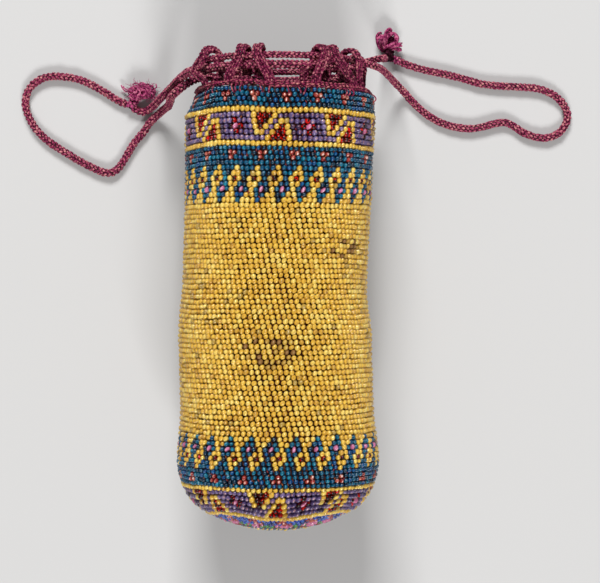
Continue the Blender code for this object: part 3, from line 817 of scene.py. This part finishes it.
def bead_piece(name, first, after, node, materials, threads, random):
    """One piece of strung beads, every bead with a shade of its glass, and the thread between them."""
    form = turned_form(BEAD_PROFILE, BEAD_SIDES)
    rounds = [round_beads(number, random) for number in range(first, after)]
    centres, matrices, letters, gaps, *frames = (np.concatenate(part) for part in zip(*rounds))
    used = []
    glass_index = np.zeros(len(letters), dtype=int)
    for letter in sorted(set(letters)):
        chosen = np.nonzero(letters == letter)[0]
        shares = [share for _, _, share in SHADES[letter]]
        glass_index[chosen] = len(used) + 2 * random.choice(len(shares), len(chosen), p=shares)
        used += materials[letter]
    verts, tris, quads = scatter(form, matrices, centres)
    quad_index = np.repeat(glass_index, len(form[2])).reshape(len(letters), -1)
    # The form's last side faces outward. Its middle quad takes the painted light and shade, and for the
    # letters with wide patches the four quads round that one take it too.
    top = (BEAD_SIDES - 1) * BEAD_BANDS
    quad_index[:, top + 1] += 1
    wide = np.nonzero(np.isin(letters, list(WIDE_PAINTED_PATCHES)))[0]
    for quad in (top, top + 2, top - BEAD_BANDS + 1, 1):
        quad_index[wide, quad] += 1
    bits, bit_tris, bit_quads, bit_shades = thread_bits(letters, gaps, *frames, random)
    bit_shades = bit_shades + len(used)
    indices = np.concatenate([
        np.repeat(glass_index, len(form[1])),
        np.repeat(bit_shades, len(STITCH[1])),
        quad_index.ravel(),
        np.repeat(bit_shades, len(STITCH[2])),
    ])
    tris = np.concatenate([tris, bit_tris + len(verts)])
    quads = np.concatenate([quads, bit_quads + len(verts)])
    verts = draped(np.concatenate([verts, bits]))
    attach(new_piece(name, verts, (tris, quads), used + threads, indices), node)


def grid_faces(rows, columns):
    """Quads of a grid of vertices in rows that close into rings."""
    row = np.arange(rows - 1)[:, None] * columns
    column = np.arange(columns)[None, :]
    after = (column + 1) % columns
    corners = (row + column, row + after, row + columns + after, row + columns + column)
    return np.stack(corners, axis=-1).reshape(-1, 4)


def ground():
    """The crocheted ground, near black as painted shade: smooth under the beads, with a ridge for each round
    inside.
    """
    outside = [
        (fabric_point(run, GROUND_OUTER_INSET), GROUND_OUTER_LOWEST)
        for run in np.linspace(0.0, RUN[-1] - 0.5 * MM, GROUND_RINGS)
    ]
    inside = []
    for step in range(2 * TOTAL_ROUNDS - 3, -1, -1):
        run = float(np.interp(step / 2, MEASURED_ROUNDS, MEASURED_RUNS_MM)) * MM - GROUND_RIDGE_SHIFT
        inset = GROUND_VALLEY_INSET if step % 2 else GROUND_RIDGE_INSET
        inside.append((fabric_point(max(run, 0.0), inset), GROUND_INNER_LOWEST))
    rings = []
    angles = np.arange(GROUND_SIDES) * math.tau / GROUND_SIDES
    for (distance, y), lowest in [*outside, *inside]:
        height = axis_height(y) + distance * np.cos(angles)
        rings.append(np.column_stack([
            distance * np.sin(angles), np.full(GROUND_SIDES, y), np.maximum(height, lowest),
        ]))
    verts = draped(np.concatenate(rings))
    faces = grid_faces(len(rings) + 1, GROUND_SIDES)[:, ::-1] % len(verts)
    piece = new_piece("ground_stitched", verts, (faces,), [silk_material("silk_ground")])
    attach(piece, "crochet_ground")


def tube_mesh(points, radius, sides):
    """Vertices and faces of a round tube along a route, closed at its ends. Radius may vary along it."""
    _, normals, across = route_frames(points)
    radius = np.broadcast_to(radius, (len(points),))
    angles = (np.arange(sides) * math.tau / sides)[None, :, None]
    circles = normals[:, None, :] * np.cos(angles) + across[:, None, :] * np.sin(angles)
    rings = points[:, None, :] + radius[:, None, None] * circles
    verts = np.concatenate([rings.reshape(-1, 3), points[:1], points[-1:]])
    quads = grid_faces(len(points), sides)
    side = np.arange(sides)
    after = (side + 1) % sides
    start = len(points) * sides
    last = start - sides
    tris = np.concatenate([
        np.column_stack([np.full(sides, start), after, side]),
        np.column_stack([np.full(sides, start + 1), last + side, last + after]),
    ])
    return verts, tris, quads


STITCH = turned_form(((-1.0, 0.0), (-0.62, 0.8), (0.0, 1.0), (0.62, 0.8), (1.0, 0.0)), 6)


def stitched_route(points, thickness, chain, random):
    """A crocheted or braided cord: slanted stitches in columns, and the core that they lie round.

    Both are vertices, triangles and quads. The thickness is one number or one for each point.
    """
    pitch, slant_deg, columns, fullness = chain
    tangents, normals, across = route_frames(points)
    thickness = np.broadcast_to(thickness, (len(points),))
    run = np.concatenate([[0.0], np.cumsum(np.linalg.norm(np.diff(points, axis=0), axis=1))])
    count = max(int(run[-1] / pitch), 2)
    step = run[-1] / count
    centres = []
    matrices = []
    for column in range(columns):
        angle = math.tau * (column + 0.5) / columns
        phase = 0.25 if column % 2 else 0.75
        slant = math.radians(slant_deg if column % 2 else -slant_deg)
        for number in range(count):
            here = (number + phase) * step
            middle = np.array([np.interp(here, run, points[:, axis]) for axis in range(3)])
            wide = float(np.interp(here, run, thickness))
            place = min(int(np.searchsorted(run, here)), len(points) - 1)
            out = normals[place] * math.cos(angle) + across[place] * math.sin(angle)
            side = np.cross(tangents[place], out)
            bend = slant + random.normal(0.0, STITCH_SPREAD)
            along = tangents[place] * math.cos(bend) + side * math.sin(bend)
            flank = np.cross(out, along)
            size = fullness * (1.0 + random.normal(0.0, STITCH_SPREAD))
            centres.append(middle + out * wide * STITCH_DISTANCE)
            matrices.append(np.column_stack([
                flank * wide * STITCH_WIDTH / columns * size,
                out * wide * STITCH_DEPTH * size,
                along * pitch * STITCH_HALF_LENGTH * size,
            ]))
    stitches = scatter(STITCH, np.array(matrices), np.array(centres))
    return stitches, tube_mesh(points, thickness * CORE_SHARE, 8)


def join_meshes(parts):
    """Several meshes, each of vertices, triangles and quads, as one."""
    verts, tris, quads = [], [], []
    offset = 0
    for part_verts, part_tris, part_quads in parts:
        verts.append(part_verts)
        tris.append(part_tris + offset)
        quads.append(part_quads + offset)
        offset += len(part_verts)
    return np.concatenate(verts), np.concatenate(tris), np.concatenate(quads)


def silk_piece(name, bright_parts, painted_shade_parts, materials, on_bag):
    """A piece of stitches in the first material and their cores in the second, near black as painted shade.
    """
    parts = [*bright_parts, *painted_shade_parts]
    verts, tris, quads = join_meshes(parts)
    indices = []
    for faces in (1, 2):
        for number, part in enumerate(parts):
            indices.append(np.full(len(part[faces]), int(number >= len(bright_parts))))
    if on_bag:
        verts = draped(verts)
    else:
        verts[:, 2] = np.maximum(verts[:, 2], FLOOR_GAP)
    return new_piece(name, verts, (tris, quads), materials, np.concatenate(indices))


def edging(materials, random):
    """The crocheted row round the mouth, with stray stitches down into the first beads."""
    angles = np.linspace(0.0, 360.0, EDGING_STEPS + 1)
    bends = np.linspace(0.0, 360.0, EDGING_BENDS)
    stitches = []
    cores = []
    for distance, y, thickness in EDGING_ROWS_MM:
        wander = random.normal(0.0, EDGING_WANDER_MM, (2, EDGING_BENDS))
        wander[:, -1] = wander[:, 0]
        near = np.interp(angles, bends, wander[0])
        high = np.interp(angles, bends, wander[1])
        route = np.array([
            mouth_point(angle, (distance + out) * MM, MOUTH_Y + (y + up) * MM)
            for angle, out, up in zip(angles, near, high)
        ])
        row, core = stitched_route(route, thickness * MM, EDGING_CHAIN, random)
        stitches.append(row)
        cores.append(core)
    for angle in (*STRAYS_DEG, *random.uniform(0.0, 360.0, MORE_STRAYS)):
        lean = random.uniform(-STRAY_LEAN_DEG, STRAY_LEAN_DEG)
        stray = np.array([
            mouth_point(angle + share * lean, distance * MM, MOUTH_Y + y * MM)
            for share, distance, y in STRAY_ROUTE_MM
        ])
        stitches.append(tube_mesh(smooth_route(stray, STRAY_STEP), STRAY_RADIUS, 5))
    piece = silk_piece("edging_stitched", stitches, cores, materials, True)
    attach(piece, "rim_edging")


def casing_loop(number, angles, materials, random):
    """A crocheted loop over both drawstrings, its outer foot on the edging and its inner foot inside."""
    foot, top, inner_foot, bulge = angles
    foot_y = MOUTH_Y + GAP + EDGING_HEIGHT + GAP
    low_string = MOUTH_Y + LOWER_STRING_RISE
    high_string = low_string + STRING_SPACING
    outside = STRING_RING_RADIUS + LOOP_REACH
    inside = STRING_RING_RADIUS - LOOP_REACH
    rise = high_string - foot_y
    route = [
        mouth_point(foot, outside, MOUTH_Y + LOOP_START_RISE),
        mouth_point(foot, outside, foot_y + LOOP_FOOT_RISE),
        mouth_point((foot + top) / 2 + bulge, outside, foot_y + LOOP_SIDE_SHARE * rise),
    ]
    for step in range(4):
        turn = math.pi * step / 3
        distance = STRING_RING_RADIUS + LOOP_REACH * math.cos(turn) / math.cos(math.pi / 12)
        angle = top + (inner_foot - top) * step / 6
        route.append(mouth_point(angle, distance, high_string + LOOP_REACH * math.sin(turn)))
    route.append(mouth_point((top + inner_foot) / 2, inside, low_string))
    route.append(mouth_point(inner_foot, inside + LOOP_INNER_LEAN, foot_y + LOOP_INNER_RISE))
    inner_edge = EDGING_RADIUS - EDGING_HALF_WIDTH - LOOP_INNER_MARGIN
    route.append(mouth_point(inner_foot, inner_edge, foot_y))
    points = smooth_route(route, LOOP_STEP)
    turn = math.radians(top)
    _, apart, _ = route_frames(points, (math.cos(turn), 0.0, -math.sin(turn)))
    stitches = []
    cores = []
    for side in (-LOOP_SPREAD, LOOP_SPREAD):
        chain, core = stitched_route(points + apart * side, LOOP_THICKNESS, LOOP_CHAIN, random)
        stitches.append(chain)
        cores.append(core)
    piece = silk_piece(f"loop_stitched_{number:02d}", stitches, cores, materials, True)
    attach(piece, f"casing_loop_{number:02d}")


def cord_point(x, y, z=LYING_HEIGHT_MM):
    """A point of a cord, from millimetres."""
    return np.array((x, y, z)) * MM


def string_route(ring_y, ring_deg, short_end, long_end):
    """From a knot up to the mouth, round through the loops, out along the table and back to the knot."""
    start, end = ring_deg
    count = round(abs(end - start) / RING_STEP_DEG)
    route = [cord_point(*point) for point in reversed(short_end)]
    for step in range(count + 1):
        route.append(mouth_point(start + (end - start) * step / count, STRING_RING_RADIUS, ring_y))
    return route + [cord_point(*point) for point in long_end]


def drawstring(side, route, looks, materials, random):
    """A braided cord, whose thickness to the eye differs where the loops hold it."""
    points = smooth_route(route, CORD_STEP)
    risen = HALF_HELD * share_between(points[:, 2], *HELD_HEIGHTS)
    in_mouth = np.hypot(points[:, 0], points[:, 2] - MOUTH_ZONE) < MOUTH_ZONE
    thickness = looks[0] + (looks[1] - looks[0]) * np.where(in_mouth, 1.0, risen)
    stitches, core = stitched_route(points, thickness, CORD_BRAID, random)
    piece = silk_piece(f"drawstring_{side}_braided", [stitches], [core], materials, False)
    attach(piece, f"drawstring_{side}")
    path = smooth_route(route, CORD_PATH_STEP)


def neck(route_mm, thickness, random):
    """The short tied stretch between the cords and their frayed ends."""
    points = smooth_route(np.array(route_mm) * MM, NECK_STEP)
    widths = np.linspace(*thickness, len(points))
    return stitched_route(points, widths, NECK_WRAP, random)


def ply(points_mm, radius):
    return tube_mesh(smooth_route(np.array(points_mm) * MM, PLY_STEP), radius, 6)


def curled_ply(centre, halves, random):
    """A ply that curls tightly inside an oval tuft, as points in millimetres."""
    around = random.uniform(0.0, math.tau)
    out = random.uniform(0.2, 0.85)
    hand = random.choice((-1.0, 1.0))
    turn = hand * random.uniform(3.5, 6.5)
    length = random.uniform(4.0, 6.5)
    steps = np.linspace(0.0, 1.0, 9)
    heading = around + hand * random.uniform(0.9, 1.6) + turn * steps
    x = out * halves[0] * math.cos(around) + np.cumsum(np.cos(heading)) * length / 9
    y = out * halves[1] * math.sin(around) + np.cumsum(np.sin(heading)) * length / 9
    reach = np.hypot(x / halves[0], y / halves[1])
    shrink = 1.0 / np.maximum(reach / 1.05, 1.0)
    lift = math.sqrt(max(1.0 - out ** 2, 0.0)) * halves[2]
    z = random.uniform(-1.0, 1.0) * lift + 0.5 * np.sin(steps * math.pi) * hand
    return np.column_stack([centre[0] + x * shrink, centre[1] + y * shrink, np.maximum(centre[2] + z, 0.5)])


def hair(centre, halves, random):
    """A short fine fibre that stands out of an oval tuft, as points in millimetres."""
    around = random.uniform(0.0, math.tau)
    rise = random.uniform(0.0, 1.2)
    out = np.array((math.cos(around) * math.cos(rise), math.sin(around) * math.cos(rise), math.sin(rise)))
    start = np.array(centre) + out * np.array(halves) * 0.85
    lean = random.normal(0.0, 0.5, (2, 3))
    points = np.array([
        start,
        start + out * 0.7 + lean[0] * 0.5,
        start + out * random.uniform(0.9, 1.7) + lean[1],
    ])
    points[:, 2] = np.maximum(points[:, 2], 0.3)
    return points


def knot_left(materials, random):
    """The left knot: a tied neck, and a compact rosette of curled plies with a few wisps."""
    stitches, core = neck(LEFT_NECK, LEFT_NECK_WIDTHS, random)
    rosette = (ROSETTE_CENTRE, ROSETTE_HALF, random)
    plies = [ply(curled_ply(*rosette), LEFT_PLY_RADIUS) for _ in range(ROSETTE_PLIES)]
    hairs = [ply(hair(*rosette), HAIR_RADIUS) for _ in range(ROSETTE_HAIRS)]
    wisps = [ply(wisp, WISP_RADIUS) for wisp in LEFT_WISPS]
    piece = silk_piece("knot_left_frayed", [stitches, *plies, *hairs, *wisps], [core], materials, False)
    return attach(piece, "knot_left")


def knot_right(materials, random):
    """The right knot: a tied neck painted dark as shadow, and bundles of plies that curl round a hollow
    painted dark.
    """
    stitches, core = neck(RIGHT_NECK, RIGHT_NECK_WIDTHS, random)
    tails = [neck(tail, RIGHT_TAIL_WIDTHS, random) for tail in RIGHT_TAILS]
    plies = []
    for petal in (*RIGHT_PETALS, *RIGHT_HOLLOW):
        for _ in range(BUNDLE_PLIES):
            shift = random.normal(0.0, BUNDLE_SPREAD_MM, (1, 3))
            spread = random.normal(0.0, PLY_SPREAD_MM, (len(petal), 3))
            points = np.array(petal) + shift * np.linspace(0.5, 1.2, len(petal))[:, None] + spread
            points[:, 2] = np.maximum(points[:, 2], LOWEST_PLY_MM)
            plies.append(ply(points, RIGHT_PLY_RADIUS * random.uniform(0.75, 1.15)))
    # The neck, its cores and the hollow's plies take the near-black silk: painted shadow and shade.
    shaded = BUNDLE_PLIES * len(RIGHT_HOLLOW)
    bright = [*plies[:-shaded], *(tail for tail, _ in tails)]
    dark = [stitches, core, *plies[-shaded:], *(inner for _, inner in tails)]
    piece = silk_piece("knot_right_frayed", bright, dark, materials, False)
    return attach(piece, "knot_right")


def camera():
    data = bpy.data.cameras.new("camera")
    data.sensor_width = CAMERA_SENSOR
    data.lens = CAMERA_LENS
    viewer = bpy.data.objects.new("camera", data)
    viewer.location = (CAMERA_X, 0.0, CAMERA_HEIGHT)
    bpy.context.scene.collection.objects.link(viewer)
    bpy.context.scene.camera = viewer


def floor():
    """The pale table, which looks paler than the light it throws back."""
    corners = ((-1, -1), (1, -1), (1, 1), (-1, 1))
    verts = np.array([(x * FLOOR_HALF, y * FLOOR_HALF, 0.0) for x, y in corners])
    material, shader = plain_material("table", FLOOR_PALE, FLOOR_ROUGHNESS)
    set_inputs(shader, {"Specular IOR Level": 0.0})
    nodes = material.node_tree.nodes
    links = material.node_tree.links
    rays = nodes.new("ShaderNodeLightPath")
    seen = rays.outputs["Is Camera Ray"]
    for kind in ("Is Glossy Ray", "Is Transmission Ray"):
        either = nodes.new("ShaderNodeMath")
        either.operation = "MAXIMUM"
        links.new(seen, either.inputs[0])
        links.new(rays.outputs[kind], either.inputs[1])
        seen = either.outputs["Value"]
    colour = nodes.new("ShaderNodeMix")
    colour.data_type = "RGBA"
    set_inputs(colour, {"A": (*FLOOR_BOUNCE, 1.0), "B": (*FLOOR_PALE, 1.0)})
    links.new(seen, colour.inputs["Factor"])
    links.new(colour.outputs["Result"], shader.inputs["Base Color"])
    piece = new_piece("table", verts, (np.array([(0, 1, 2, 3)]),), [material])


def area_light(name, place, power):
    data = bpy.data.lights.new(name, "AREA")
    data.shape = "RECTANGLE"
    data.size, data.size_y = LIGHT_SIZE
    data.energy = power
    light = bpy.data.objects.new(name, data)
    light.location = place
    light.rotation_euler = (-Vector(place)).to_track_quat("-Z", "Y").to_euler()
    bpy.context.scene.collection.objects.link(light)


def lights():
    """The two soft lights and a dim white surround."""
    for name, (place, power) in LIGHTS.items():
        area_light(name, place, power)
    world = bpy.data.worlds.new("surround")
    world.use_nodes = True
    background = world.node_tree.nodes["Background"]
    set_inputs(background, {"Color": (1.0, 1.0, 1.0, 1.0), "Strength": SURROUND_STRENGTH})
    bpy.context.scene.world = world


def build():
    random = np.random.default_rng(SEED)
    camera()
    floor()
    lights()
    # The cores of every stitched piece take near-black silk as painted shade.
    painted_shade_silk = silk_material("silk_painted_shade")
    cord_silks = [silk_material("silk_cord"), painted_shade_silk]
    edge_silks = [silk_material("silk_edge"), painted_shade_silk]
    loop_silks = [silk_material("silk_loop"), painted_shade_silk]
    knot_silks = [silk_material("silk_knot"), painted_shade_silk]
    left_knot = knot_left(knot_silks, random)
    right_knot = knot_right(knot_silks, random)
    low_string = MOUTH_Y + LOWER_STRING_RISE
    left = string_route(low_string, LEFT_RING_DEG, LEFT_SHORT_END, LEFT_LONG_END)
    right = string_route(low_string + STRING_SPACING, RIGHT_RING_DEG, RIGHT_SHORT_END, RIGHT_LONG_END)
    drawstring("left", left, LEFT_LOOKS, cord_silks, random)
    drawstring("right", right, RIGHT_LOOKS, cord_silks, random)
    ground()
    edging(edge_silks, random)
    for number, angles in enumerate(LOOPS_DEG, start=1):
        casing_loop(number, angles, loop_silks, random)
    glass = bead_materials()
    threads = thread_materials()
    for name, first, after, node, slot in BEAD_PIECES:
        bead_piece(name, first, after, node, glass, threads, random)
    bpy.context.scene.view_settings.view_transform = "Standard"


build()
